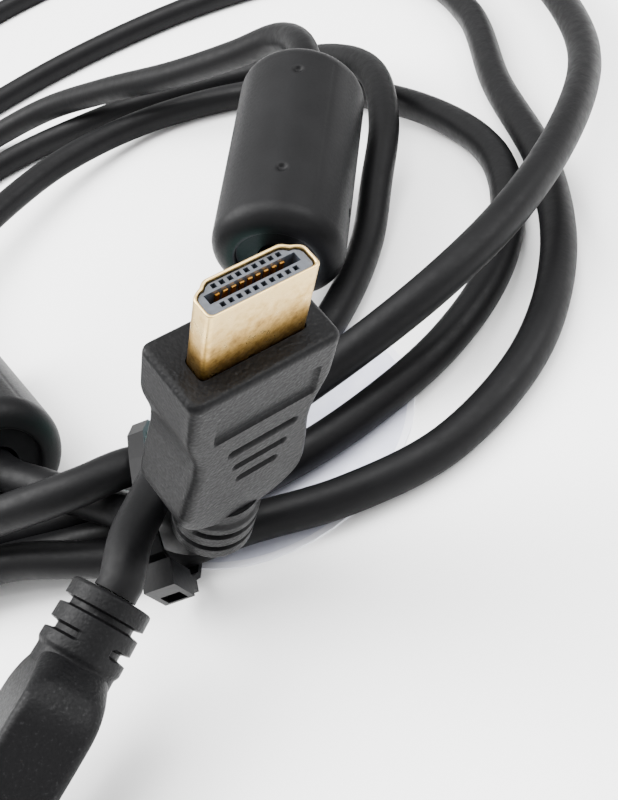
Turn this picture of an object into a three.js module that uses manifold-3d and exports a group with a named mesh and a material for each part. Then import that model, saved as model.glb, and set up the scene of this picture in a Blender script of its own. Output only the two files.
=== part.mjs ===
// HDMI cable laid in loose loops, held by one cable tie, with a plug at each end and a ferrite core
// housing near each plug. Units are mm, +Z up, the floor is z = 0.
import * as THREE from 'three';
import { mergeVertices } from 'three/addons/utils/BufferGeometryUtils.js';
import Module from 'manifold-3d';

const wasm = await Module();
wasm.setup();

// Cord
const CORD_D = 6.0;
const CORD_SIDES = 10;
const END_GAP = 0.3;

// Plug, along its own axis: 0 at the strain relief's end, PLUG_L at the mouth
const PLUG_L = 52.5;
const BODY_FRONT = 42.0;
const HEAD_W = 20.0;
const WAIST_W = 16.6;
const HIP_W = 18.6;
const BODY_T = 10.4;
const BODY_EDGE_R = 0.9;
const NECK_Z = 10.0;
const RELIEF_R = 5.6;
const GROOVE_DEPTH = 1.2;
const GROOVE_W = 1.0;

// Metal shell of the plug, an HDMI type A outline
const SHELL_W = 13.9;
const SHELL_T = 4.45;
const SHELL_SIDE_T = 2.65;
const SHELL_NARROW_W = 9.5;
const SHELL_WALL = 0.35;
const POCKET_CLEARANCE = 0.3;
const POCKET_DEPTH = 9.0;

// Insulator inside the shell
const INSULATOR_CLEARANCE = 0.15;
const INSULATOR_SET_BACK = 0.4;
const SLOT_W = 11.2;
const SLOT_H = 1.2;
const SLOT_DEPTH = 7.0;
const SLOT_T = 0.11;
const HOLE_PITCH = 1.0;
const HOLE_SIZE = 0.58;
const HOLE_DEPTH = 1.2;
const WIDE_ROW_T = -1.055;
const NARROW_ROW_T = 1.275;
const WIDE_ROW_COUNT = 10;
const NARROW_ROW_COUNT = 9;
const CONTACT_W = 0.5;
const CONTACT_T = 0.2;
const CONTACT_CLEARANCE = 0.06;
const CONTACT_SET_BACK = 0.5;

// Marks on the body's broad face
const RECESS_W = 14.2;
const RECESS_H = 5.3;
const RECESS_DEPTH = 0.5;
const RECESS_CENTRE = [0.5, 35.2];
const GRIP_ROWS = [[10.0, 28.4], [7.9, 24.8], [6.2, 21.5]];
const GRIP_CENTRE = 0.8;
const GRIP_H = 1.3;
const GRIP_DEPTH = 0.8;

// Ferrite housings
const FERRITE_L = 41.6;
const FERRITE_R = 11.5;
const FERRITE_EDGE_R = 3.4;
const FERRITE_BORE_CLEARANCE = 0.5;
const FERRITE_RIM_R = 7.4;
const FERRITE_RIM_DEPTH = 1.2;

// Cable tie, its loop in the plane across the bundle
const TIE_AT = [0.3, -105, 0];
const TIE_ACROSS = [0.2425, 0.9701, 0];
const TIE_STRAP_W = 2.6;
const TIE_STRAP_T = 0.9;
const TIE_HEAD_W = 4.6;
const TIE_HEAD_L = 7.0;
const TIE_LUG_L = 3.4;
const TIE_HEAD_T = 4.0;
const TIE_WINDOW = 3.0;
const TIE_PATH = [
  [-5, 0.85], [13, 0.85], [16.2, 1.9], [17.4, 4.4], [16.2, 7.4], [12.0, 14.2], [9.8, 17.8], [6.2, 19.2],
  [2.0, 18.4], [-9.0, 15.2], [-11.8, 13.0], [-12.4, 9.8], [-9.9, 3.4], [-7.8, 1.5],
];

// Round label under the bundle
const LABEL_CENTRE = [17, -91];
const LABEL_R = 26.0;
const LABEL_T = 0.3;

// Where the pieces lie
const PLUG_A = {
  end: [6.82, -118.45, 14.75],
  axis: [0.4002, -0.3702, 0.8384],
  width: [0.9, 0.334, -0.282],
};
const PLUG_B = {
  end: [-7.85, -126.46, 19.24],
  axis: [-0.8211, -0.5307, -0.2103],
  width: [-0.358, 0.766, -0.5335],
};
const FERRITE_A = [[32.5, -72, 15], [55, -35, 23]];
const FERRITE_B = [[-23, -79.5, 11.5], [-34, -37, 11.5]];

// Centre line of the cord, from plug A to plug B, one row for each stretch
const ROUTE = [
  [6.7, -118.3, 14.5], [6.1, -117.8, 13.2], [4.3, -116, 11.4], [0.8, -112, 10.3],
  [-4, -104.8, 10.8], [-10, -97, 10.6],
  [-17, -88, 11],
  [-23, -79.5, 11.5], [-34, -37, 11.5],
  [-36.5, -23, 11], [-34, -7.5, 10], [-26, 5, 9],
  [-12, 17, 8], [4, 25.5, 6.5], [25, 28, 4], [48, 16.5, 3], [66, -6, 3],
  [76.5, -33, 3], [78.5, -55.5, 3], [73.5, -72, 3], [64, -86, 3], [50, -96.5, 3.5],
  [34, -101.5, 3.5], [18.5, -103.5, 4],
  [-3, -101.2, 4.7],
  [-15.5, -96.3, 3.8], [-27, -91, 3.2], [-60, -77, 3], [-84, -53, 3], [-96.5, -20, 3],
  [-97, 16, 3], [-83, 53, 3],
  [-54, 80, 3],
  [-17, 88.5, 3], [17, 89, 3], [55, 78.5, 3], [85, 57, 3], [99, 28, 3],
  [99, -3, 3], [90, -35, 3], [83, -68, 3], [72.5, -92, 3], [58.5, -108, 3],
  [41, -116, 3], [24.5, -115.5, 3.5],
  [9.5, -111.5, 4.3], [-3.5, -108.5, 4.7],
  [-15, -102.7, 6.3], [-27, -96.2, 7.8], [-52, -88.5, 6.5], [-84, -71, 3], [-106, -39, 3],
  [-115, 2, 3], [-109, 52, 3],
  [-90, 98, 3], [-55, 137, 3],
  [-13, 157.5, 3], [34, 152, 3], [78, 125, 3], [104, 84, 3.5], [114.5, 40, 4.5],
  [114.5, 0, 7], [108, -35, 9], [100, -56, 10.5], [85.5, -76, 13.5], [68, -91, 15.5], [51.5, -98, 15.5],
  [31.5, -98.5, 12], [14, -99, 10.8], [5, -99.3, 12],
  [-2, -100, 15.7], [-9, -101, 17.6], [-18, -99, 17.8], [-30, -93, 16], [-44.5, -83, 13.5], [-56, -67, 11],
  [-63.5, -45, 6.5], [-66, -13, 3.5], [-59, 21, 3], [-39, 42, 3],
  [-12, 49.5, 3], [13, 45, 3], [39, 33.5, 3], [57, 17.5, 5], [68, -4, 9.5], [70.5, -21, 11],
  [65.5, -38, 9.5], [57.5, -50.5, 6.5], [49.5, -62, 3.5], [38, -75.5, 3.5],
  [24, -85.5, 3.6], [11, -91.5, 4.3],
  [-2.5, -94, 4.7],
  [-14.5, -90, 4], [-27, -84.5, 3], [-53, -70.5, 3], [-72, -49, 3], [-81, -19, 3],
  [-81, 12, 3], [-70, 44, 3],
  [-45, 64.5, 3],
  [-16, 65.5, 4], [4, 53.5, 8.5], [20, 35.5, 12.5], [36, 15.5, 16], [49, 0.5, 19.5],
  [57.5, -11, 23], [59, -23.5, 24.5],
  [55, -35, 23], [32.5, -72, 15],
  [26, -81.5, 14.3], [18.5, -90.5, 16.2], [11.5, -99.5, 17.5], [5.5, -107, 18.6], [0, -114, 19.3],
  [-3.3, -119.5, 20.2], [-5, -123.4, 20.2], [-6.4, -125.5, 19.6], [-7.6, -126.3, 19.3],
];

const BODY_MATERIAL = { color: 0x2e2e2f, roughness: 0.6, metalness: 0 };
const CORD_MATERIAL = { color: 0x222223, roughness: 0.5, metalness: 0 };
const FERRITE_MATERIAL = { color: 0x333334, roughness: 0.45, metalness: 0 };
const TIE_MATERIAL = { color: 0x1f1f20, roughness: 0.4, metalness: 0 };
const SHELL_MATERIAL = { color: 0xcdb88a, roughness: 0.3, metalness: 1 };
const INSULATOR_MATERIAL = { color: 0x5f646d, roughness: 0.5, metalness: 0 };
const CONTACT_MATERIAL = { color: 0xc98f3c, roughness: 0.3, metalness: 1 };
const LABEL_MATERIAL = { color: 0xd6d8e6, roughness: 0.6, metalness: 0 };

function named(name, geometry, material) {
  const mesh = new THREE.Mesh(geometry, new THREE.MeshStandardMaterial(material));
  mesh.name = name;
  return mesh;
}

function solid(geometry) {
  const bare = geometry.clone();
  bare.deleteAttribute('normal');
  bare.deleteAttribute('uv');
  const merged = mergeVertices(bare, 1e-4);
  return new wasm.Manifold(new wasm.Mesh({
    numProp: 3,
    vertProperties: new Float32Array(merged.attributes.position.array),
    triVerts: new Uint32Array(merged.index.array),
  }));
}

function geometryOf(manifold) {
  const mesh = manifold.getMesh();
  const geometry = new THREE.BufferGeometry();
  geometry.setAttribute('position', new THREE.BufferAttribute(new Float32Array(mesh.vertProperties), 3));
  geometry.setIndex(new THREE.BufferAttribute(new Uint32Array(mesh.triVerts), 1));
  geometry.computeVertexNormals();
  return geometry;
}

function box(x, y, z, at) {
  const geometry = new THREE.BoxGeometry(x, y, z);
  geometry.translate(at[0], at[1], at[2]);
  return geometry;
}

function shapeOf(points) {
  return new THREE.Shape(points.map((p) => new THREE.Vector2(p[0], p[1])));
}

// Solid of revolution about +Z whose profile rows are [radius, z]
function turned(profile, segments) {
  const points = profile.map((p) => new THREE.Vector2(p[0], p[1]));
  const geometry = new THREE.LatheGeometry(points, segments);
  geometry.rotateX(Math.PI / 2);
  return geometry;
}

// D-shaped outline of the shell, moved outward by grow
function shellOutline(grow) {
  const w = SHELL_W / 2 + grow;
  const low = -SHELL_T / 2 - grow;
  const high = SHELL_T / 2 + grow;
  const side = SHELL_SIDE_T - SHELL_T / 2 + grow * 0.4;
  const narrow = SHELL_NARROW_W / 2 + grow * 0.5;
  const corner = 0.5;
  const right = [
    [w - corner, low], [w - corner * 0.3, low + corner * 0.3], [w, low + corner],
    [w, side], [w - 0.2, side + 0.45], [w - 0.7, side + 0.8],
    [narrow + 0.75, high - 0.65], [narrow + 0.3, high - 0.22], [narrow - 0.2, high],
  ];
  const left = right.map((p) => [-p[0], p[1]]).reverse();
  return right.concat(left);
}

function extruded(points, from, to) {
  const geometry = new THREE.ExtrudeGeometry(shapeOf(points), { depth: to - from, bevelEnabled: false });
  geometry.translate(0, 0, from);
  return geometry;
}

function plugBody() {
  const head = HEAD_W / 2;
  const waist = WAIST_W / 2;
  const hip = HIP_W / 2;
  const right = [
    [RELIEF_R - 0.3, NECK_Z - 0.6], [hip - 1.3, NECK_Z + 2.4], [hip - 0.2, NECK_Z + 5.2], [hip, NECK_Z + 7],
    [waist, 26.5], [waist + 0.1, 29.4], [waist + 0.6, 31.4], [head - 0.5, 33.2], [head, 35],
    [head, BODY_FRONT],
  ];
  const left = right.map((p) => [-p[0], p[1]]).reverse();
  const block = new THREE.ExtrudeGeometry(shapeOf(right.concat(left)), {
    depth: BODY_T - 2 * BODY_EDGE_R,
    bevelEnabled: true,
    bevelThickness: BODY_EDGE_R,
    bevelSize: BODY_EDGE_R,
    bevelOffset: -BODY_EDGE_R,
    bevelSegments: 2,
  });
  block.translate(0, 0, -BODY_T / 2 + BODY_EDGE_R);
  block.rotateX(Math.PI / 2);
  const r = RELIEF_R;
  const g = r - GROOVE_DEPTH;
  const relief = turned([
    [0, 0], [r - 0.5, 0], [r, 0.5], [r, 2.4], [g, 2.5], [g, 2.4 + GROOVE_W], [r, 2.5 + GROOVE_W],
    [r + 0.1, 5.8], [g + 0.1, 5.9], [g + 0.1, 5.8 + GROOVE_W], [r + 0.15, 5.9 + GROOVE_W],
    [r + 0.25, NECK_Z + 3], [0, NECK_Z + 3],
  ], 32);
  // The second groove is two slots: a web on each narrow side fills it
  const web = (s) => solid(box(2.6, 5.0, GROOVE_W + 0.6, [s * (r - 1.4), 0, 5.85 + GROOVE_W / 2]));
  const grips = GRIP_ROWS.map(([w, z]) => (
    solid(box(w, 2 * GRIP_DEPTH, GRIP_H, [GRIP_CENTRE, -BODY_T / 2, z]))
  ));
  const [recessX, recessZ] = RECESS_CENTRE;
  const recess = solid(box(RECESS_W, 2 * RECESS_DEPTH, RECESS_H, [recessX, -BODY_T / 2, recessZ]));
  const pocket = solid(extruded(shellOutline(POCKET_CLEARANCE), BODY_FRONT - POCKET_DEPTH, BODY_FRONT + 1));
  const whole = wasm.Manifold.union([solid(block), solid(relief), web(1), web(-1)]);
  return geometryOf(whole.subtract(wasm.Manifold.union([pocket, recess, ...grips])));
}

function plugShell() {
  const shape = shapeOf(shellOutline(0));
  shape.holes.push(new THREE.Path(shellOutline(-SHELL_WALL).map((p) => new THREE.Vector2(p[0], p[1]))));
  const from = BODY_FRONT - POCKET_DEPTH + END_GAP;
  const geometry = new THREE.ExtrudeGeometry(shape, { depth: PLUG_L - from, bevelEnabled: false });
  geometry.translate(0, 0, from);
  return geometry;
}

// Places of the holes and contacts of one row, centred on the plug's middle
function rowOf(count) {
  return Array.from({ length: count }, (unused, i) => (i - (count - 1) / 2) * HOLE_PITCH);
}

function plugInsulator() {
  const front = PLUG_L - INSULATOR_SET_BACK;
  const back = BODY_FRONT - POCKET_DEPTH + END_GAP;
  const block = solid(extruded(shellOutline(-SHELL_WALL - INSULATOR_CLEARANCE), back, front));
  const slot = solid(box(SLOT_W, SLOT_H, 2 * SLOT_DEPTH, [0, SLOT_T, front]));
  const hole = (x, t) => solid(box(HOLE_SIZE, HOLE_SIZE, 2 * HOLE_DEPTH, [x, t, front]));
  const holes = [
    ...rowOf(WIDE_ROW_COUNT).map((x) => hole(x, WIDE_ROW_T)),
    ...rowOf(NARROW_ROW_COUNT).map((x) => hole(x, NARROW_ROW_T)),
  ];
  return geometryOf(block.subtract(wasm.Manifold.union([slot, ...holes])));
}

function plugContacts(prefix) {
  const front = PLUG_L - INSULATOR_SET_BACK;
  const length = SLOT_DEPTH - CONTACT_SET_BACK - CONTACT_CLEARANCE;
  const z = front - CONTACT_SET_BACK - length / 2;
  const off = SLOT_H / 2 - CONTACT_CLEARANCE - CONTACT_T / 2;
  const places = [
    ...rowOf(WIDE_ROW_COUNT).map((x) => [x, SLOT_T - off]),
    ...rowOf(NARROW_ROW_COUNT).map((x) => [x, SLOT_T + off]),
  ];
  return places.map(([x, t], i) => {
    const number = String(i + 1).padStart(2, '0');
    const strip = box(CONTACT_W, CONTACT_T, length, [x, t, z]);
    return named(`${prefix}_contact_${number}`, strip, CONTACT_MATERIAL);
  });
}

function plug(prefix, pose) {
  const group = new THREE.Group();
  group.add(named(`${prefix}_shell`, plugShell(), SHELL_MATERIAL));
  group.add(named(`${prefix}_insulator`, plugInsulator(), INSULATOR_MATERIAL));
  group.add(named(`${prefix}_body`, plugBody(), BODY_MATERIAL));
  group.add(...plugContacts(prefix));
  const axis = new THREE.Vector3(...pose.axis).normalize();
  const width = new THREE.Vector3(...pose.width);
  width.addScaledVector(axis, -width.dot(axis)).normalize();
  const thick = new THREE.Vector3().crossVectors(axis, width);
  group.matrixAutoUpdate = false;
  group.matrix.makeBasis(width, thick, axis).setPosition(...pose.end);
  return group;
}

function ferriteHousing(name, [start, end]) {
  const from = new THREE.Vector3(...start);
  const to = new THREE.Vector3(...end);
  const axis = to.clone().sub(from).normalize();
  const bore = CORD_D / 2 + FERRITE_BORE_CLEARANCE;
  const half = FERRITE_L / 2;
  const r = FERRITE_R;
  const e = FERRITE_EDGE_R;
  const upper = [
    [r, half - e], [r - e * 0.134, half - e * 0.5], [r - e * 0.5, half - e * 0.134], [r - e, half],
    [FERRITE_RIM_R, half], [FERRITE_RIM_R - 0.3, half - FERRITE_RIM_DEPTH], [bore, half - FERRITE_RIM_DEPTH],
  ];
  const lower = upper.map((p) => [p[0], -p[1]]).reverse();
  const mesh = named(name, turned([...lower, ...upper, lower[0]], 36), FERRITE_MATERIAL);
  const group = new THREE.Group();
  group.position.copy(from).add(to).multiplyScalar(0.5);
  group.quaternion.setFromUnitVectors(new THREE.Vector3(0, 0, 1), axis);
  group.add(mesh);
  return group;
}

// Each step of the sweep ends on one point of the route
class RouteCurve extends THREE.CatmullRomCurve3 {
  getUtoTmapping(u) {
    return u;
  }
}

function cord() {
  const curve = new RouteCurve(ROUTE.map((p) => new THREE.Vector3(...p)), false, 'centripetal');
  const section = [];
  for (let i = 0; i < CORD_SIDES; i += 1) {
    const angle = (i / CORD_SIDES) * 2 * Math.PI;
    section.push([(CORD_D / 2) * Math.cos(angle), (CORD_D / 2) * Math.sin(angle)]);
  }
  return new THREE.ExtrudeGeometry(shapeOf(section), {
    steps: ROUTE.length - 1,
    extrudePath: curve,
    bevelEnabled: false,
  });
}

// Closed outline moved outward by d along its corner normals
function offsetOutline(points, d) {
  const n = points.length;
  return points.map((p, i) => {
    const a = points[(i + n - 1) % n];
    const b = points[(i + 1) % n];
    const u = new THREE.Vector2(p[0] - a[0], p[1] - a[1]).normalize();
    const v = new THREE.Vector2(b[0] - p[0], b[1] - p[1]).normalize();
    const out = new THREE.Vector2(u.y + v.y, -u.x - v.x).normalize();
    const reach = d / (out.x * u.y - out.y * u.x);
    return [p[0] + out.x * reach, p[1] + out.y * reach];
  });
}

function cableTie() {
  const outer = shapeOf(offsetOutline(TIE_PATH, TIE_STRAP_T / 2));
  outer.holes.push(new THREE.Path(
    offsetOutline(TIE_PATH, -TIE_STRAP_T / 2).map((p) => new THREE.Vector2(p[0], p[1])),
  ));
  const strap = new THREE.ExtrudeGeometry(outer, { depth: TIE_STRAP_W, bevelEnabled: false });
  strap.translate(0, 0, -TIE_STRAP_W / 2);
  // The head sits on the strap's flank, its length along the strap
  const top = TIE_PATH[11];
  const foot = TIE_PATH[12];
  const tilt = Math.atan2(foot[1] - top[1], foot[0] - top[0]);
  const place = (geometry, along, out) => {
    geometry.rotateZ(tilt);
    const x = top[0] + Math.cos(tilt) * along + Math.sin(tilt) * out;
    const y = top[1] + Math.sin(tilt) * along - Math.cos(tilt) * out;
    geometry.translate(x, y, 0);
    return solid(geometry);
  };
  const head = place(new THREE.BoxGeometry(TIE_HEAD_L, TIE_HEAD_T, TIE_HEAD_W), -0.2, TIE_HEAD_T / 2 - 0.1);
  const window = place(new THREE.BoxGeometry(TIE_WINDOW, TIE_HEAD_T, TIE_WINDOW), 1.2, TIE_HEAD_T - 1);
  const lugAt = (TIE_HEAD_L + TIE_LUG_L) / 2 - 0.3;
  const lug = place(new THREE.BoxGeometry(TIE_LUG_L, 1.8, 3.6), lugAt, 1.35);
  const whole = wasm.Manifold.union([solid(strap), head, lug]).subtract(window);
  const mesh = named('cable_tie', geometryOf(whole), TIE_MATERIAL);
  const across = new THREE.Vector3(...TIE_ACROSS).normalize();
  const up = new THREE.Vector3(0, 0, 1);
  const group = new THREE.Group();
  group.matrixAutoUpdate = false;
  group.matrix.makeBasis(across, up, new THREE.Vector3().crossVectors(across, up)).setPosition(...TIE_AT);
  group.add(mesh);
  return group;
}

function roundLabel() {
  const geometry = new THREE.CylinderGeometry(LABEL_R, LABEL_R, LABEL_T, 48);
  geometry.rotateX(Math.PI / 2);
  geometry.translate(LABEL_CENTRE[0], LABEL_CENTRE[1], LABEL_T / 2);
  return named('round_label', geometry, LABEL_MATERIAL);
}

const cable = new THREE.Group();
cable.add(named('cord', cord(), CORD_MATERIAL));
cable.add(plug('plug_a', PLUG_A));
cable.add(plug('plug_b', PLUG_B));
cable.add(ferriteHousing('ferrite_housing_a', FERRITE_A));
cable.add(ferriteHousing('ferrite_housing_b', FERRITE_B));
cable.add(cableTie());
cable.add(roundLabel());

export default cable;
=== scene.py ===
# %% [markdown]
# # A black video cable in loose loops
# The object is one long cord that lies in five stacked loops, with a moulded plug at each end, a ferrite
# core housing near each plug and a nylon tie round the bundle. Its rigid solids are loaded as a fixed
# frame, and this lesson dresses them: the large moulded forms are drawn again with their fine detail, and
# the small parts keep their shape and get a finish. Lengths are written in millimetres and turned to
# metres with MM.

# %% Load the frame
import math

import bpy
import numpy as np
from mathutils import Matrix


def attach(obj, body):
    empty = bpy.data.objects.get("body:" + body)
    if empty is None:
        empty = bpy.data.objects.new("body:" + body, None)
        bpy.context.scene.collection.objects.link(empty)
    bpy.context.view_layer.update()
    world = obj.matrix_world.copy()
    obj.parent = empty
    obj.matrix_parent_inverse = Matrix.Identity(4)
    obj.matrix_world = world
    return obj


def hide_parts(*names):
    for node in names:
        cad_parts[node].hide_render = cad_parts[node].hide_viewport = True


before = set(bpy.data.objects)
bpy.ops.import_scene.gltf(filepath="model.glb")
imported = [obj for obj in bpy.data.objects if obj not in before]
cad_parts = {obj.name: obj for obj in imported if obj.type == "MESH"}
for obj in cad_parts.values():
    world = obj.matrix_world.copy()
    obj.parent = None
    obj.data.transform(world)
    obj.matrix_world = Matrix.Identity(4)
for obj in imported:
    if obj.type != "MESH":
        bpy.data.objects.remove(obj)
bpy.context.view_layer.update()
MM = 0.001

# %% [markdown]
# ## The camera
# The photograph looks down at the plug from close by, so the loops behind it run out of the picture. The
# camera's three axes are written out as the columns of its matrix, which fixes the view with no target.

# %% Camera
CAMERA_AT = (26.5, -234.0, 121.6)
CAMERA_RIGHT = (0.8706, -0.3154, -0.3776)
CAMERA_UP = (0.4920, 0.5581, 0.6682)
CAMERA_BACK = (0.0, -0.7675, 0.6411)
LENS = 51.75

lens = bpy.data.cameras.new("camera")
lens.lens = LENS
lens.sensor_fit = "AUTO"
lens.sensor_width = 36.0
lens.clip_start = 0.005
camera = bpy.data.objects.new("camera", lens)
bpy.context.collection.objects.link(camera)
camera_axes = [CAMERA_RIGHT, CAMERA_UP, CAMERA_BACK]
camera.matrix_world = Matrix([
    *[[axis[r] for axis in camera_axes] + [CAMERA_AT[r] * MM] for r in range(3)],
    [0, 0, 0, 1],
])
bpy.context.scene.camera = camera
print("camera at", tuple(round(v, 4) for v in camera.location))

# %% [markdown]
# ## Helpers for surfaces
# Every new piece is a grid of points: rows run along the piece and columns run round it. One helper turns
# such a grid into a mesh. Faces that meet at more than the given angle keep a crisp edge, which is how a
# moulded edge reads, and the rest are shaded smooth.


# %% Grid to mesh
def grid_piece(name, rows, sharp=50.0, closed_rows=False):
    """Mesh of a grid of points (rows, columns, 3) whose columns close round. Quad (i, j) joins points
    (i, j), (i, j+1), (i+1, j+1) and (i+1, j). The rows close round too, or else one polygon caps the
    first row and one the last. The piece rides on the root body."""
    count, around = rows.shape[:2]
    points = rows.reshape(-1, 3)
    i = np.arange(count if closed_rows else count - 1)[:, None]
    j = np.arange(around)[None, :]
    right = (j + 1) % around
    below = (i + 1) % count
    corners = [i * around + j, i * around + right, below * around + right, below * around + j]
    quads = np.stack(corners, axis=-1)
    faces = [tuple(q) for q in quads.reshape(-1, 4).tolist()]
    if not closed_rows:
        faces.append(tuple(range(around - 1, -1, -1)))
        faces.append(tuple(range((count - 1) * around, count * around)))
    mesh = bpy.data.meshes.new(name)
    mesh.from_pydata(points.tolist(), [], faces)
    mesh.update()
    mesh.polygons.foreach_set("use_smooth", np.ones(len(mesh.polygons), dtype=bool))
    mesh.set_sharp_from_angle(angle=math.radians(sharp))
    piece = bpy.data.objects.new(name, mesh)
    bpy.context.collection.objects.link(piece)
    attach(piece, "root")
    print(name, len(mesh.vertices), "points", len(mesh.polygons), "faces")
    return piece


def unit(v):
    """Each vector divided by its own length."""
    v = np.asarray(v, dtype=float)
    return v / np.linalg.norm(v, axis=-1, keepdims=True)


def step_between(x, low, high):
    """Smooth step: 0 below low, 1 above high, and t^2 (3 - 2 t) between."""
    t = np.clip((x - low) / (high - low), 0.0, 1.0)
    return t * t * (3 - 2 * t)


# %% [markdown]
# ## The cord
# The cord is a round PVC jacket, 6 mm thick. Its centre line is a smooth curve through chosen points, in
# millimetres, from the first plug to the second. The points repeat the ones that the frame's cord was
# swept along, so the drawn cord lies where the solid one does.

# %% Route of the cord
ROUTE = [
    (6.7, -118.3, 14.5), (6.1, -117.8, 13.2), (4.3, -116, 11.4), (0.8, -112, 10.3), (-4, -104.8, 10.8),
    (-10, -97, 10.6), (-17, -88, 11), (-23, -79.5, 11.5), (-34, -37, 11.5), (-36.5, -23, 11),
    (-34, -7.5, 10), (-26, 5, 9), (-12, 17, 8), (4, 25.5, 6.5), (25, 28, 4), (48, 16.5, 3), (66, -6, 3),
    (76.5, -33, 3), (78.5, -55.5, 3), (73.5, -72, 3), (64, -86, 3), (50, -96.5, 3.5), (34, -101.5, 3.5),
    (18.5, -103.5, 4), (-3, -101.2, 4.7), (-15.5, -96.3, 3.8), (-27, -91, 3.2), (-60, -77, 3),
    (-84, -53, 3), (-96.5, -20, 3), (-97, 16, 3), (-83, 53, 3), (-54, 80, 3), (-17, 88.5, 3),
    (17, 89, 3), (55, 78.5, 3), (85, 57, 3), (99, 28, 3), (99, -3, 3), (90, -35, 3), (83, -68, 3),
    (72.5, -92, 3), (58.5, -108, 3), (41, -116, 3), (24.5, -115.5, 3.5), (9.5, -111.5, 4.3),
    (-3.5, -108.5, 4.7), (-15, -102.7, 6.3), (-27, -96.2, 7.8), (-52, -88.5, 6.5), (-84, -71, 3),
    (-106, -39, 3), (-115, 2, 3), (-109, 52, 3), (-90, 98, 3), (-55, 137, 3), (-13, 157.5, 3),
    (34, 152, 3), (78, 125, 3), (104, 84, 3.5), (114.5, 40, 4.5), (114.5, 0, 7), (108, -35, 9),
    (100, -56, 10.5), (85.5, -76, 13.5), (68, -91, 15.5), (51.5, -98, 15.5), (31.5, -98.5, 12),
    (14, -99, 10.8), (5, -99.3, 12), (-2, -100, 15.7), (-9, -101, 17.6), (-18, -99, 17.8),
    (-30, -93, 16), (-44.5, -83, 13.5), (-56, -67, 11), (-63.5, -45, 6.5), (-66, -13, 3.5),
    (-59, 21, 3), (-39, 42, 3), (-12, 49.5, 3), (13, 45, 3), (39, 33.5, 3), (57, 17.5, 5), (68, -4, 9.5),
    (70.5, -21, 11), (65.5, -38, 9.5), (57.5, -50.5, 6.5), (49.5, -62, 3.5), (38, -75.5, 3.5),
    (24, -85.5, 3.6), (11, -91.5, 4.3), (-2.5, -94, 4.7), (-14.5, -90, 4), (-27, -84.5, 3),
    (-53, -70.5, 3), (-72, -49, 3), (-81, -19, 3), (-81, 12, 3), (-70, 44, 3), (-45, 64.5, 3),
    (-16, 65.5, 4), (4, 53.5, 8.5), (20, 35.5, 12.5), (36, 15.5, 16), (49, 0.5, 19.5), (57.5, -11, 23),
    (59, -23.5, 24.5), (55, -35, 23), (32.5, -72, 15), (26, -81.5, 14.3), (18.5, -90.5, 16.2),
    (11.5, -99.5, 17.5), (5.5, -107, 18.6), (0, -114, 19.3), (-3.3, -119.5, 20.2), (-5, -123.4, 20.2),
    (-6.4, -125.5, 19.6), (-7.6, -126.3, 19.3),
]
CORD_D = 6.0
CORD_STEP = 1.4
CORD_COLUMNS = 24
SPAN_STEPS = 24


def smooth_line(points):
    """Centripetal Catmull-Rom curve. Between P1 and P2 it is the Hermite curve with end slopes
    T1 = ((P1-P0)/a - (P2-P0)/(a+b) + (P2-P1)/b) b and T2 likewise, where a, b and c are the square
    roots of the three distances. The ends are mirrored on."""
    p = np.asarray(points, dtype=float)
    p = np.vstack([2 * p[0] - p[1], p, 2 * p[-1] - p[-2]])
    roots = np.sqrt(np.linalg.norm(np.diff(p, axis=0), axis=1))[:, None]
    spans = len(p) - 3
    a, b, c = (roots[k:spans + k] for k in range(3))
    p0, p1, p2, p3 = (p[k:spans + k] for k in range(4))
    t1 = ((p1 - p0) / a - (p2 - p0) / (a + b) + (p2 - p1) / b) * b
    t2 = ((p2 - p1) / b - (p3 - p1) / (b + c) + (p3 - p2) / c) * b
    u = (np.arange(SPAN_STEPS) / SPAN_STEPS)[None, :, None]
    p1, p2, t1, t2 = (v[:, None, :] for v in (p1, p2, t1, t2))
    line = ((2 * u ** 3 - 3 * u ** 2 + 1) * p1 + (u ** 3 - 2 * u ** 2 + u) * t1
            + (3 * u ** 2 - 2 * u ** 3) * p2 + (u ** 3 - u ** 2) * t2)
    return np.vstack([line.reshape(-1, 3), p[-2]])


def even_steps(line, step):
    """Points at equal distances along a line, by linear interpolation over its running length."""
    run = np.r_[0, np.cumsum(np.linalg.norm(np.diff(line, axis=0), axis=1))]
    at = np.linspace(0, run[-1], int(round(run[-1] / step)) + 1)
    return np.stack([np.interp(at, run, line[:, k]) for k in range(3)], axis=1), at


def tube(line, radius, columns):
    """Circle carried along a line: P + r (cos A side + sin A over), with side = heading x up and
    over = side x heading. No stretch of this cord is upright, so side is never zero. That turns the
    faces inward, so the columns are taken in reverse."""
    heading = unit(np.gradient(line, axis=0))
    side = unit(np.cross(heading, [0, 0, 1]))
    over = np.cross(side, heading)
    angle = np.arange(columns) / columns * 2 * math.pi
    cosine, sine = np.cos(angle)[None, :, None], np.sin(angle)[None, :, None]
    rows = line[:, None, :] + radius * (cosine * side[:, None, :] + sine * over[:, None, :])
    return rows[:, ::-1]


line = smooth_line(ROUTE)
# The smooth curve dips a hair below its lowest points, so it is kept on the floor
line[:, 2] = np.maximum(line[:, 2], CORD_D / 2)
line, run = even_steps(line, CORD_STEP)
cord = grid_piece("cord_jacket", tube(line, CORD_D / 2, CORD_COLUMNS) * MM, sharp=60)
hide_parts("cord")
print("cord length", round(run[-1] * MM, 4), "m")

# %% [markdown]
# ## Where the plugs and housings lie
# Each plug is drawn upright about its own axis and then carried to its place. Its local x runs across the
# broad face, y through the thickness and z from the strain relief to the mouth.


# %% Places
def place_of(end, axis, width):
    """Origin and three unit axes of a plug: width, thickness = axis x width, and axis."""
    axis = unit(axis)
    width = np.asarray(width, dtype=float)
    width = unit(width - axis * (width @ axis))
    return np.asarray(end, dtype=float), np.stack([width, np.cross(axis, width), axis])


def carried(points, place):
    """Local points carried to a place, O + x W + y T + z A, in metres."""
    origin, axes = place
    return (origin + points @ axes) * MM


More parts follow.
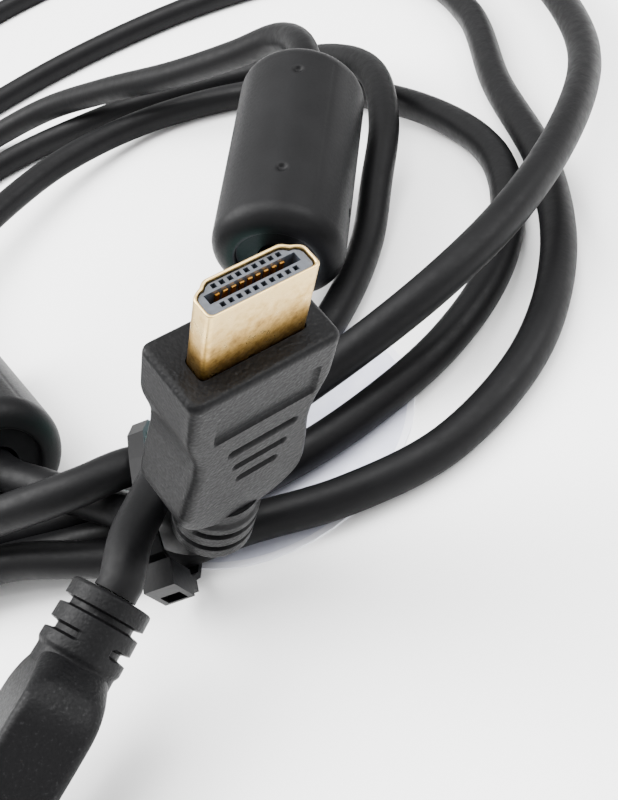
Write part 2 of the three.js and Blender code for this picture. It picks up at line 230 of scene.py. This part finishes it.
PLUG_A = place_of((6.82, -118.45, 14.75), (0.4002, -0.3702, 0.8384), (0.9, 0.334, -0.282))
PLUG_B = place_of((-7.85, -126.46, 19.24), (-0.8211, -0.5307, -0.2103), (-0.358, 0.766, -0.5335))

# %% [markdown]
# ## The moulded plug body
# The real body is one over-moulding: a block with a waist that the fingers grip, rounded edges, a shallow
# plain panel and three grip slots on one broad face. It could be carved with booleans, but a single grid
# with the panel and slots pressed into it keeps every edge softly rounded, as a mould leaves them.

# %% Body outline
# Height, half width and half thickness
BODY_ROWS = [
    (9.2, 5.0, 4.5), (10.4, 6.2, 4.8), (12.4, 8.0, 5.02), (15.2, 9.08, 5.16), (17.0, 9.3, 5.2),
    (21.5, 8.95, 5.2), (26.5, 8.3, 5.2), (29.4, 8.4, 5.2), (31.4, 8.9, 5.2), (33.2, 9.5, 5.2),
    (35.0, 9.96, 5.2), (38.0, 10.0, 5.2), (42.0, 10.0, 5.2),
]
BODY_FRONT = 42.0
EDGE_R = 1.3
FRONT_R = 0.8
NECK_EXTRA_R = 2.6
NECK_END = 15.0
ROW_STEP = 0.22
FRONT_STEPS = 5
CORNER_STEPS = 5
# Middle x, middle z, half width, half height, corner radius and depth of each pressed mark
MARKS = [
    (0.5, 35.2, 7.1, 2.65, 0.45, 0.5),
    (0.8, 28.4, 5.0, 0.65, 0.6, 0.8),
    (0.8, 24.8, 3.95, 0.65, 0.6, 0.8),
    (0.8, 21.5, 3.1, 0.65, 0.6, 0.8),
]
MARK_SLOPE = 0.32


def pressed(x, z, mark):
    """Depth of a pressed mark: its depth times a smooth step of the distance inside its rounded
    rectangle, which is hypot(max(dx, 0), max(dz, 0)) + min(max(dx, dz), 0) - r with the sign turned."""
    cx, cz, hx, hz, r, depth = mark
    dx = np.abs(x - cx) - (hx - r)
    dz = np.abs(z - cz) - (hz - r)
    outside = np.hypot(np.maximum(dx, 0), np.maximum(dz, 0)) + np.minimum(np.maximum(dx, dz), 0) - r
    return depth * step_between(-outside, 0.0, MARK_SLOPE)


def section_columns():
    """One turn round a rounded box, as shares of the flat half sizes and unit corner directions: broad
    face y < 0, side x > 0, broad face y > 0, side x < 0, with an arc at each corner. The marked face
    y < 0 has the most columns."""
    broad = np.linspace(-1, 1, 84)
    plain = np.linspace(1, -1, 40)
    side = np.linspace(-1, 1, 16)
    arc = np.linspace(0, math.pi / 2, CORNER_STEPS + 2)[1:-1]
    corners = [(1, -1), (1, 1), (-1, 1), (-1, -1)]
    parts = []
    runs = [(broad, None, 0, -1), (None, side, 1, 0), (plain, None, 0, 1), (None, side[::-1], -1, 0)]
    for k, (xs, ys, nx, ny) in enumerate(runs):
        n = len(xs if xs is not None else ys)
        cx = xs if xs is not None else np.full(n, nx)
        cy = ys if ys is not None else np.full(n, ny)
        parts.append(np.stack([cx, cy, np.full(n, nx), np.full(n, ny)], axis=1))
        start = -math.pi / 2 + k * math.pi / 2
        at = np.repeat([corners[k]], CORNER_STEPS, axis=0)
        parts.append(np.c_[at, np.cos(start + arc), np.sin(start + arc)])
    return np.vstack(parts)


# %% [markdown]
# The mouth of the body is closed by rows that run in from its rounded front edge to the D-shaped outline of
# the metal shell, and then a little way down round it, so the shell stands in a real pocket.

# %% Shell outline
SHELL_W = 13.9
SHELL_T = 4.45
SHELL_SIDE_T = 2.65
SHELL_NARROW_W = 9.5
POCKET_GAP = 0.14
POCKET_DEPTH = 1.5


def shell_outline(grow, count):
    """The D outline of the shell, moved outward by grow: the straight lines of a box with two cut
    corners, rounded by sampling it evenly and averaging each point with its neighbours."""
    w = SHELL_W / 2 + grow
    low = -SHELL_T / 2 - grow
    high = SHELL_T / 2 + grow
    side = SHELL_SIDE_T - SHELL_T / 2 + grow * 0.4
    narrow = SHELL_NARROW_W / 2 + grow * 0.5
    right = [
        (w - 0.5, low), (w - 0.15, low + 0.15), (w, low + 0.5), (w, side), (w - 0.2, side + 0.45),
        (w - 0.7, side + 0.8), (narrow + 0.75, high - 0.65), (narrow + 0.3, high - 0.22),
        (narrow - 0.2, high),
    ]
    ring = np.array(right + [(-x, y) for x, y in reversed(right)])
    ring = np.vstack([ring, ring[:1]])
    run = np.r_[0, np.cumsum(np.linalg.norm(np.diff(ring, axis=0), axis=1))]
    at = np.arange(count) / count * run[-1]
    even = np.stack([np.interp(at, run, ring[:, k]) for k in range(2)], axis=1)
    return (np.roll(even, 1, axis=0) + 2 * even + np.roll(even, -1, axis=0)) / 4


def outline_along(rays, grow):
    """Points of the D outline in the directions of the given points, by interpolation over angle."""
    ring = shell_outline(grow, 720)
    angle = np.arctan2(ring[:, 1], ring[:, 0])
    order = np.argsort(angle)
    reach = np.linalg.norm(ring, axis=1)[order]
    toward = np.arctan2(rays[:, 1], rays[:, 0])
    r = np.interp(toward, angle[order], reach, period=2 * math.pi)
    return np.stack([r * np.cos(toward), r * np.sin(toward)], axis=1)


# %% Body
def plug_body(name, place):
    """Rounded-box sections with half sizes from BODY_ROWS, marks pressed into the face y < 0, a rounded
    front edge, a flat front and a pocket wall round the shell."""
    table = np.array(BODY_ROWS)
    foot = table[0, 0]
    edge = BODY_FRONT - FRONT_R
    turn = np.linspace(0, math.pi / 2, FRONT_STEPS + 1)[1:]
    z = np.r_[np.linspace(foot, edge, int((edge - foot) / ROW_STEP)), edge + FRONT_R * np.sin(turn)]
    tuck = np.r_[np.zeros(len(z) - FRONT_STEPS), FRONT_R * (1 - np.cos(turn))]
    # The half sizes are averaged over nearby heights, which rounds the outline's corners
    soft = np.linspace(foot, BODY_FRONT, 120)
    half = [np.interp(soft, table[:, 0], table[:, k]) for k in (1, 2)]
    kernel = np.hanning(9)[1:-1]
    half = [np.convolve(np.pad(h, 3, mode="edge"), kernel / kernel.sum(), mode="valid") for h in half]
    hx = np.interp(z, soft, half[0]) - tuck
    hy = np.interp(z, soft, half[1]) - tuck
    r = EDGE_R + NECK_EXTRA_R * (1 - step_between(z, foot, NECK_END)) - 0.5 * tuck
    columns = section_columns()
    x = columns[None, :, 0] * (hx - r)[:, None] + columns[None, :, 2] * r[:, None]
    y = columns[None, :, 1] * (hy - r)[:, None] + columns[None, :, 3] * r[:, None]
    zz = np.repeat(z[:, None], x.shape[1], axis=1)
    face = (columns[:, 3] == -1)[None, :]
    depth = sum(pressed(x, zz, mark) for mark in MARKS)
    y = y + np.where(face, depth, 0.0)
    rows = np.stack([x, y, zz], axis=-1)
    mouth = rows[-1, :, :2]
    rim = outline_along(mouth, POCKET_GAP)
    level = np.ones(len(rim))
    front = [np.c_[mouth + (rim - mouth) * t, level * BODY_FRONT] for t in (0.12, 0.5, 0.9, 1.0)]
    wall = [np.c_[rim, level * (BODY_FRONT - d)] for d in (0.15, POCKET_DEPTH)]
    rows = np.concatenate([rows, np.array(front + wall)])
    return grid_piece(name, carried(rows, place))


# %% [markdown]
# ## The strain relief
# The relief is the ribbed tail of the same moulding. It spreads the cord's bend, so it is soft: one groove
# runs all round it and a second one is cut as two slots.

# %% Strain relief
RELIEF_R = 5.6
RELIEF_TOP = 11.6
RELIEF_COLUMNS = 96
GROOVE_DEPTH = 1.2


def strain_relief(name, place):
    """Turned profile whose radius is r(z) = 5.6 + z/40, less a full groove near the cord, two slots
    further up that leave a web on each narrow side, and 0.4 mm where it goes into the body. It starts
    in a shallow bore round the cord's end."""
    angle = np.arange(RELIEF_COLUMNS) / RELIEF_COLUMNS * 2 * math.pi
    z = np.arange(0.45, RELIEF_TOP, 0.12)
    base = RELIEF_R + 0.025 * z - 0.4 * step_between(z, 8.4, 9.4)
    full = step_between(z, 2.35, 2.65) - step_between(z, 3.35, 3.65)
    slots = step_between(z, 5.75, 6.05) - step_between(z, 6.85, 7.15)
    open_side = step_between(np.abs(np.sin(angle)), 0.4, 0.5)
    r = base[:, None] - GROOVE_DEPTH * (full[:, None] + slots[:, None] * open_side[None, :])
    end = np.array([
        (3.06, 2.0), (3.06, 0.25), (3.2, 0.04),
        (RELIEF_R - 0.55, 0.0), (RELIEF_R - 0.3, 0.04), (RELIEF_R - 0.08, 0.2),
    ])
    r = np.vstack([end[:, :1] * np.ones(RELIEF_COLUMNS), r])
    z = np.r_[end[:, 1], z][:, None] * np.ones(RELIEF_COLUMNS)
    rows = np.stack([r * np.cos(angle), r * np.sin(angle), z], axis=-1)
    return grid_piece(name, carried(rows, place))


bodies = []
reliefs = []
for prefix, place in (("plug_a", PLUG_A), ("plug_b", PLUG_B)):
    body = plug_body(prefix + "_overmould", place)
    relief = strain_relief(prefix + "_strain_relief", place)
    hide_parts(prefix + "_body")
    bodies.append(body)
    reliefs.append(relief)

# %% [markdown]
# ## The metal shell
# The shell is thin sheet, folded round the insulator and plated. Its wall is one closed loop of rows: up the
# outside, over a rounded lip and down the inside, so the lip catches the light as a real sheet edge does.

# %% Shell
SHELL_WALL = 0.35
SHELL_FOOT = 40.7
SHELL_COLUMNS = 160
MOUTH_Z = 52.5


def plug_shell(name, place):
    """Rows of the D outline at (offset inward, height): the outer wall, a half circle of radius
    wall/2 over the lip, and the inner wall."""
    lip = np.linspace(0, math.pi, 9)
    h = SHELL_WALL / 2
    brow = MOUTH_Z - h
    outer = np.linspace(SHELL_FOOT, brow - 0.05, 24)
    inner = np.linspace(brow - 0.05, SHELL_FOOT, 8)
    inward = np.r_[0 * outer, h * (1 - np.cos(lip)), 0 * inner + SHELL_WALL]
    height = np.r_[outer, brow + h * np.sin(lip), inner]
    level = np.ones(SHELL_COLUMNS)
    rows = [np.c_[shell_outline(-d, SHELL_COLUMNS), level * v] for d, v in zip(inward, height)]
    return grid_piece(name, carried(np.stack(rows), place), closed_rows=True)


shells = []
for prefix, place in (("plug_a", PLUG_A), ("plug_b", PLUG_B)):
    shell = plug_shell(prefix + "_shell_folded", place)
    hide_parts(prefix + "_shell")
    shells.append(shell)

# %% [markdown]
# ## The ferrite housings
# Each housing is a smooth moulded barrel with soft shoulders round a ferrite core. A raised rim stands round
# the cord at each end, and small round pin marks are left by the mould. They are pressed into the grid.

# %% Ferrite housings
FERRITE_L = 41.6
FERRITE_R = 11.5
FERRITE_EDGE_R = 3.4
FERRITE_COLUMNS = 240
BARREL_ROWS = 150
PIN_HEIGHTS = (13.4, -10.0)
PIN_ANGLES = (23.0, 106.0, 203.0, 286.0)
PIN_R = 1.0
PIN_DEPTH = 0.6
PARTING_WIDTH = 0.35
PARTING_DEPTH = 0.06


def ferrite_housing(name, start, end):
    """Turned barrel along start to end. Angle 0 is the top, and grows toward side = heading x up. The
    shoulder is a quarter circle, each pin mark is a round dent pressed in along the radius, and the
    mould's parting line is a groove exp(-(distance / width)^2) deep. The rows run against the heading,
    so the columns are taken in reverse to face outward."""
    start, end = np.asarray(start, dtype=float), np.asarray(end, dtype=float)
    heading = unit(end - start)
    side = unit(np.cross(heading, [0, 0, 1]))
    top = np.cross(side, heading)
    half = FERRITE_L / 2
    e = FERRITE_EDGE_R
    turn = np.linspace(math.pi / 2, 0, 10)[:-1]
    shoulder = [(FERRITE_R - e + e * math.cos(t), half - e + e * math.sin(t)) for t in turn]
    inner = [
        (3.3, half - 1.5), (3.4, half - 1.0), (6.7, half - 1.0), (7.0, half - 0.9), (7.1, half - 0.2),
        (7.3, half - 0.02), (7.7, half),
    ]
    cap = np.array(inner + shoulder)
    straight = np.linspace(half - e, -half + e, BARREL_ROWS)
    r = np.r_[cap[:, 0], np.full(BARREL_ROWS, FERRITE_R), cap[::-1, 0]]
    z = np.r_[cap[:, 1], straight, -cap[::-1, 1]]
    angle = np.arange(FERRITE_COLUMNS) / FERRITE_COLUMNS * 2 * math.pi
    radius = np.repeat(r[:, None], FERRITE_COLUMNS, axis=1)
    for along, degrees in [(h, a) for a in PIN_ANGLES for h in PIN_HEIGHTS]:
        turned = (angle - math.radians(degrees) + math.pi) % (2 * math.pi) - math.pi
        distance = np.hypot(z[:, None] - along, (turned * FERRITE_R)[None, :])
        radius = radius - PIN_DEPTH * (1 - step_between(distance, PIN_R * 0.45, PIN_R))
    from_line = ((angle + 0.6) % math.pi - math.pi / 2) * FERRITE_R
    parting = PARTING_DEPTH * np.exp(-(from_line / PARTING_WIDTH) ** 2)
    barrel = (np.abs(z) < half - e)[:, None]
    radius = radius - np.where(barrel, parting[None, :], 0.0)
    centre = (start + end) / 2
    ring = np.cos(angle)[:, None] * top + np.sin(angle)[:, None] * side
    rows = centre + z[:, None, None] * heading + radius[:, :, None] * ring[None, :, :]
    return grid_piece(name, rows[:, ::-1] * MM, closed_rows=True)


housings = [
    ferrite_housing("ferrite_barrel_a", (32.5, -72, 15), (55, -35, 23)),
    ferrite_housing("ferrite_barrel_b", (-23, -79.5, 11.5), (-34, -37, 11.5)),
]
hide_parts("ferrite_housing_a")
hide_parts("ferrite_housing_b")

# %% [markdown]

# %% [markdown]
# ## Helpers for finishes
# A colour is given as the sRGB hex value that a picture shows, and shaders work in linear light, so one
# function converts it. Another adds a node with its settings, colour stops and links in one call.


# %% Node helpers
def linear(hex_colour):
    """sRGB to linear: c / 12.92 below 0.04045, else ((c + 0.055) / 1.055)^2.4."""
    values = [int(hex_colour[i:i + 2], 16) / 255 for i in (1, 3, 5)]
    return tuple(c / 12.92 if c <= 0.04045 else ((c + 0.055) / 1.055) ** 2.4 for c in values) + (1.0,)


def wire(tree, node, inputs):
    """Sets each named input of a node to a value, or links it to a socket."""
    for key, value in inputs.items():
        if isinstance(value, bpy.types.NodeSocket):
            tree.links.new(value, node.inputs[key])
        else:
            node.inputs[key].default_value = value


def add(tree, kind, inputs=None, stops=(), **settings):
    """New node of a kind, with its own settings, its inputs and, on a ramp, its colour stops. A ramp
    starts with two stops, so any others are made before the first is moved."""
    node = tree.nodes.new("ShaderNode" + kind)
    for key, value in settings.items():
        setattr(node, key, value)
    for _ in stops[2:]:
        node.color_ramp.elements.new(0.5)
    for k, (position, colour) in enumerate(stops):
        node.color_ramp.elements[k].position = position
        node.color_ramp.elements[k].color = linear(colour)
    wire(tree, node, inputs or {})
    return node


def per(millimetres):
    """Scale of a pattern whose cells are this long: 1 / length in metres."""
    return 1.0 / (millimetres * MM)


def fresh(name):
    """Empty material with its surface shader, its output and the place on the piece."""
    material = bpy.data.materials.new(name)
    material.use_nodes = True
    tree = material.node_tree
    tree.nodes.clear()
    shader = add(tree, "BsdfPrincipled")
    add(tree, "OutputMaterial", {"Surface": shader.outputs["BSDF"]})
    where = add(tree, "TexCoord").outputs["Object"]
    return material, tree, shader, where


def wear(material, pieces):
    """Gives a material to new pieces."""
    for piece in pieces:
        piece.data.materials.append(material)
    print(material.name, "on", [piece.name for piece in pieces])


# %% [markdown]
# ## Extruded jacket
# The cord's jacket is PVC, pushed hot through a round die. That leaves it satin, with slow waviness and a
# faint haze of dust and handling. The studio's view lifts dark tones, so every black here is set darker than
# the picture shows it and has little gloss.

# %% Cord jacket
PVC_IOR = 1.53
BLACK_GLOSS = 0.09
MID_NOISE = {"From Min": 0.3, "From Max": 0.7}

jacket, tree, shader, where = fresh("extruded_pvc_jacket")
cloud = add(tree, "TexNoise", {"Vector": where, "Scale": per(9.0), "Detail": 4.0})
dust = add(tree, "TexNoise", {"Vector": where, "Scale": per(1.6), "Detail": 5.0, "Roughness": 0.65})
wave = add(tree, "TexNoise", {"Vector": where, "Scale": per(0.9), "Detail": 3.0})
shade = add(tree, "ValToRGB", {"Fac": cloud.outputs["Fac"]}, stops=[(0.3, "#070708"), (0.7, "#0b0b0c")])
haze = add(tree, "MapRange", {"Value": dust.outputs["Fac"], **MID_NOISE, "To Min": 0.4, "To Max": 0.56})
relief = add(tree, "Bump", {"Height": wave.outputs["Fac"], "Distance": 0.05 * MM, "Strength": 0.6})
wire(tree, shader, {
    "Base Color": shade.outputs["Color"],
    "Roughness": haze.outputs["Result"],
    "IOR": PVC_IOR,
    "Specular IOR Level": BLACK_GLOSS,
    "Normal": relief.outputs["Normal"],
})
wear(jacket, [cord])

# %% [markdown]
# ## Spark-textured mouldings
# The plug bodies are moulded in a tool whose walls were eroded by sparks, which prints a fine grain on the
# plastic. The peaks of the grain catch the light, and a painted highlight lightens their colour. The real
# grain is about 0.1 mm, too fine to show, so it is drawn at 0.4 mm to 0.5 mm.

# %% Plug over-moulding
GRAIN_MM = 0.42
PIT_MM = 0.5

overmould, tree, shader, where = fresh("spark_textured_pvc_moulding")
grain = add(tree, "TexNoise", {"Vector": where, "Scale": per(GRAIN_MM), "Detail": 2.0, "Roughness": 0.6})
pits = add(tree, "TexVoronoi", {"Vector": where, "Scale": per(PIT_MM)})
height = add(tree, "Math", {0: grain.outputs["Fac"], 1: pits.outputs["Distance"]}, operation="SUBTRACT")
# The two dark stops are the grain's own tone. The lightest stop is a painted highlight on the grain's peaks.
shade = add(tree, "ValToRGB", {"Fac": grain.outputs["Fac"]},
            stops=[(0.35, "#060607"), (0.62, "#0a0a0b"), (0.75, "#1a1a1b")])
shine = add(tree, "MapRange", {"Value": grain.outputs["Fac"], **MID_NOISE, "To Min": 0.52, "To Max": 0.38})
relief = add(tree, "Bump", {"Height": height.outputs[0], "Distance": 0.06 * MM, "Strength": 0.6})
wire(tree, shader, {
    "Base Color": shade.outputs["Color"],
    "Roughness": shine.outputs["Result"],
    "IOR": PVC_IOR,
    "Specular IOR Level": BLACK_GLOSS,
    "Normal": relief.outputs["Normal"],
})
wear(overmould, [*bodies, *reliefs])

# %% [markdown]
# ## Satin barrels
# The ferrite housings come from a smoother tool, so they are satin and a shade lighter, with soft clouds
# where the plastic flowed.

# %% Ferrite barrels
barrel_finish, tree, shader, where = fresh("satin_pvc_barrel")
cloud = add(tree, "TexNoise", {"Vector": where, "Scale": per(7.0), "Detail": 4.0})
grain = add(tree, "TexNoise", {"Vector": where, "Scale": per(0.5), "Detail": 3.0, "Roughness": 0.6})
shade = add(tree, "ValToRGB", {"Fac": cloud.outputs["Fac"]}, stops=[(0.3, "#0b0b0c"), (0.72, "#101011")])
shine = add(tree, "MapRange", {"Value": grain.outputs["Fac"], **MID_NOISE, "To Min": 0.4, "To Max": 0.52})
relief = add(tree, "Bump", {"Height": grain.outputs["Fac"], "Distance": 0.05 * MM, "Strength": 0.6})
wire(tree, shader, {
    "Base Color": shade.outputs["Color"],
    "Roughness": shine.outputs["Result"],
    "IOR": PVC_IOR,
    "Specular IOR Level": BLACK_GLOSS,
    "Normal": relief.outputs["Normal"],
})
wear(barrel_finish, housings)

# %% [markdown]
# ## Gold-coloured plate
# The shell is steel with a thin pale gold plate. It is bright, with blotches of brown tarnish, and painted
# shade darkens it near the body. The painted shade fades with height along each plug's axis, and noise
# breaks its edge.

# %% Shell plate
BLOTCH_MM = 1.5
SCRATCH_MM = 0.3
BODY_SHADE_SHARE = 0.55


def plate(name, place):
    """Plate whose colour is a ramp of noise + 0.55 h, where h rises from 0 at the body to 1 at the mouth.
    The noise gives tarnish blotches, and the low h near the body is painted shade.
    """
    material, tree, shader, where = fresh(name)
    origin, axes = place
    offset = add(tree, "VectorMath", {0: where, 1: tuple(origin * MM)}, operation="SUBTRACT")
    along = add(tree, "VectorMath", {0: offset.outputs[0], 1: tuple(axes[2])}, operation="DOT_PRODUCT")
    ends = {"From Min": BODY_FRONT * MM, "From Max": MOUTH_Z * MM}
    rise = add(tree, "MapRange", {"Value": along.outputs["Value"], **ends})
    broken = {"Vector": where, "Roughness": 0.7}
    blotch = add(tree, "TexNoise", {**broken, "Scale": per(BLOTCH_MM), "Detail": 6.0})
    fine = add(tree, "TexNoise", {**broken, "Scale": per(SCRATCH_MM), "Detail": 4.0})
    # Painted shade: the colour is darkest next to the body and lifts toward the mouth, with tarnish blotches
    # from the noise on top.
    shade_fade = add(tree, "Math", {0: rise.outputs["Result"], 1: BODY_SHADE_SHARE}, operation="MULTIPLY")
    tarnish_and_shade = add(tree, "Math", {0: shade_fade.outputs[0], 1: blotch.outputs["Fac"]}, operation="ADD")
    shade = add(tree, "ValToRGB", {"Fac": tarnish_and_shade.outputs[0]},
                stops=[(0.3, "#2a1d0c"), (0.52, "#7d5e2b"), (0.74, "#bd9853"), (0.98, "#d9ba7c")])
    patch = blotch.outputs["Fac"]
    shine = add(tree, "MapRange", {"Value": patch, **MID_NOISE, "To Min": 0.42, "To Max": 0.24})
    relief = add(tree, "Bump", {"Height": fine.outputs["Fac"], "Distance": 0.02 * MM, "Strength": 0.5})
    wire(tree, shader, {
        "Base Color": shade.outputs["Color"],
        "Metallic": 1.0,
        "Roughness": shine.outputs["Result"],
        "Normal": relief.outputs["Normal"],
    })
    return material


wear(plate("gold_plate_tarnish_and_shade_a", PLUG_A), shells[:1])
wear(plate("gold_plate_tarnish_and_shade_b", PLUG_B), shells[1:])

# %% [markdown]
# ## Finishes for the pieces that keep their shape
# The insulators, contacts, tie and label are already right, so only the material in each one's slots is
# changed. Their meshes and places stay as the frame gives them.


# %% Kept pieces
def finish_nodes(material, names):
    """Puts a material in every slot of the named frame objects."""
    for name in names:
        node = bpy.data.objects[name]
        if not node.material_slots:
            node.data.materials.append(material)
        for socket in node.material_slots:
            socket.material = material
    print(material.name, "on", len(names), "nodes")


# %% [markdown]
# The insulator is a stiff blue-grey plastic with a dull moulded face.

# %% Insulator
insulator, tree, shader, where = fresh("moulded_lcp_insulator")
cloud = add(tree, "TexNoise", {"Vector": where, "Scale": per(0.6), "Detail": 3.0})
fine = add(tree, "TexNoise", {"Vector": where, "Scale": per(0.3), "Detail": 2.0})
shade = add(tree, "ValToRGB", {"Fac": cloud.outputs["Fac"]}, stops=[(0.3, "#2c3036"), (0.7, "#3f444d")])
relief = add(tree, "Bump", {"Height": fine.outputs["Fac"], "Distance": 0.02 * MM, "Strength": 0.5})
wire(tree, shader, {
    "Base Color": shade.outputs["Color"],
    "Roughness": 0.5,
    "IOR": 1.6,
    "Normal": relief.outputs["Normal"],
})
finish_nodes(insulator, ["plug_a_insulator", "plug_b_insulator"])

# %% [markdown]
# The contacts are thin strips with a flash of gold, which glow orange inside the dark slot.

# %% Contacts
contact, tree, shader, where = fresh("gold_flashed_contact")
cloud = add(tree, "TexNoise", {"Vector": where, "Scale": per(0.8), "Detail": 3.0})
shade = add(tree, "ValToRGB", {"Fac": cloud.outputs["Fac"]}, stops=[(0.3, "#d08a2c"), (0.7, "#f0b860")])
wire(tree, shader, {"Base Color": shade.outputs["Color"], "Metallic": 1.0, "Roughness": 0.3})
finish_nodes(contact, [f"plug_{k}_contact_{i:02d}" for k in "ab" for i in range(1, 20)])

# %% [markdown]
# The tie is moulded nylon, a little glossier than the cord and slightly uneven.

# %% Tie
nylon, tree, shader, where = fresh("black_nylon_tie")
cloud = add(tree, "TexNoise", {"Vector": where, "Scale": per(3.0), "Detail": 3.0})
fine = add(tree, "TexNoise", {"Vector": where, "Scale": per(0.6), "Detail": 3.0})
shade = add(tree, "ValToRGB", {"Fac": cloud.outputs["Fac"]}, stops=[(0.3, "#070708"), (0.7, "#0c0c0d")])
relief = add(tree, "Bump", {"Height": fine.outputs["Fac"], "Distance": 0.04 * MM, "Strength": 0.5})
wire(tree, shader, {
    "Base Color": shade.outputs["Color"],
    "Roughness": 0.42,
    "IOR": 1.53,
    "Specular IOR Level": BLACK_GLOSS,
    "Normal": relief.outputs["Normal"],
})
finish_nodes(nylon, ["cable_tie"])

# %% [markdown]
# The label is printed paper. It is left blank: a teal field on its upper left, white paper on the rest with
# painted shade that greys it lavender, and a paler border. The edge of the teal field is a straight line
# across the label.

# %% Label
LABEL_CENTRE = (17.0, -91.0)
LABEL_R = 26.0
LABEL_BORDER = 1.2
TEAL_FROM = 10.0
TEAL_TOWARD = (-0.8, 0.6, 0)
label_origin = (LABEL_CENTRE[0] * MM, LABEL_CENTRE[1] * MM, 0)
border_from = (LABEL_R - LABEL_BORDER) * MM

label, tree, shader, where = fresh("coated_paper_label")
centred = add(tree, "VectorMath", {0: where, 1: label_origin}, operation="SUBTRACT").outputs[0]
across = add(tree, "VectorMath", {0: centred, 1: TEAL_TOWARD}, operation="DOT_PRODUCT").outputs["Value"]
teal = add(tree, "Math", {0: across, 1: TEAL_FROM * MM}, operation="GREATER_THAN").outputs[0]
flat = add(tree, "VectorMath", {0: centred, 1: (1, 1, 0)}, operation="MULTIPLY").outputs[0]
radius = add(tree, "VectorMath", {0: flat}, operation="LENGTH").outputs["Value"]
border = add(tree, "Math", {0: radius, 1: border_from}, operation="GREATER_THAN").outputs[0]
mottle = add(tree, "TexNoise", {"Vector": where, "Scale": per(4.0), "Detail": 3.0}).outputs["Fac"]
# Painted shade: the label's paper is white, and these lavender-grey stops are shade painted on it.
shaded_white_paper = add(tree, "ValToRGB", {"Fac": mottle}, stops=[(0.3, "#c9cbdc"), (0.7, "#d9dbe8")])
green = add(tree, "ValToRGB", {"Fac": mottle}, stops=[(0.3, "#12ac95"), (0.7, "#1cbfa7")])
fields = {0: teal, 6: shaded_white_paper.outputs["Color"], 7: green.outputs["Color"]}
field = add(tree, "Mix", fields, data_type="RGBA").outputs[2]
whole = add(tree, "Mix", {0: border, 6: field, 7: linear("#e9eaf2")}, data_type="RGBA").outputs[2]
wire(tree, shader, {"Base Color": whole, "Roughness": 0.45})
finish_nodes(label, ["round_label"])

# %% [markdown]
# ## Floor and light
# The photograph is cut out on white, so the floor is plain and pale, and large soft lights stand on both
# sides and overhead. The key comes from the left and a little behind, which draws the long highlights on the
# loops.

# %% Floor
FLOOR_HALF = 3.0

paper, tree, shader, where = fresh("matt_white_backdrop")
cloud = add(tree, "TexNoise", {"Vector": where, "Scale": per(60.0), "Detail": 2.0})
shade = add(tree, "ValToRGB", {"Fac": cloud.outputs["Fac"]}, stops=[(0.3, "#f6f6f6"), (0.7, "#fafafa")])
wire(tree, shader, {"Base Color": shade.outputs["Color"], "Roughness": 0.9})
floor_corners = [(x * FLOOR_HALF, y * FLOOR_HALF, 0) for x, y in ((-1, -1), (1, -1), (1, 1), (-1, 1))]
floor_mesh = bpy.data.meshes.new("floor")
floor_mesh.from_pydata(floor_corners, [], [(0, 1, 2, 3)])
floor = bpy.data.objects.new("floor", floor_mesh)
bpy.context.collection.objects.link(floor)
wear(paper, [floor])

# %% Lights
# Name, place in metres, size in metres and power in watts
LIGHTS = [
    ("key", (-0.55, 0.25, 0.75), 0.7, 26.0),
    ("fill", (0.75, -0.35, 0.6), 0.6, 12.0),
    ("top", (0.05, -0.05, 1.1), 0.9, 24.0),
]
LIT = np.array([0.02, -0.08, 0.02])
SKY_STRENGTH = 1.5


def soft_light(name, at, size, power):
    """Square area light, turned so that its own -z points at the plug."""
    lamp = bpy.data.lights.new(name, "AREA")
    lamp.size = size
    lamp.energy = power
    back = unit(np.array(at) - LIT)
    side = unit(np.cross([0.02, 1, 0.01], back))
    up = np.cross(back, side)
    piece = bpy.data.objects.new(name, lamp)
    piece.matrix_world = Matrix([*[[side[r], up[r], back[r], at[r]] for r in range(3)], [0, 0, 0, 1]])
    bpy.context.collection.objects.link(piece)


for light in LIGHTS:
    soft_light(*light)
world = bpy.data.worlds.new("studio")
world.use_nodes = True
sky = world.node_tree.nodes["Background"]
wire(world.node_tree, sky, {"Color": (1, 1, 1, 1), "Strength": SKY_STRENGTH})
bpy.context.scene.world = world
print("lights", [light[0] for light in LIGHTS])
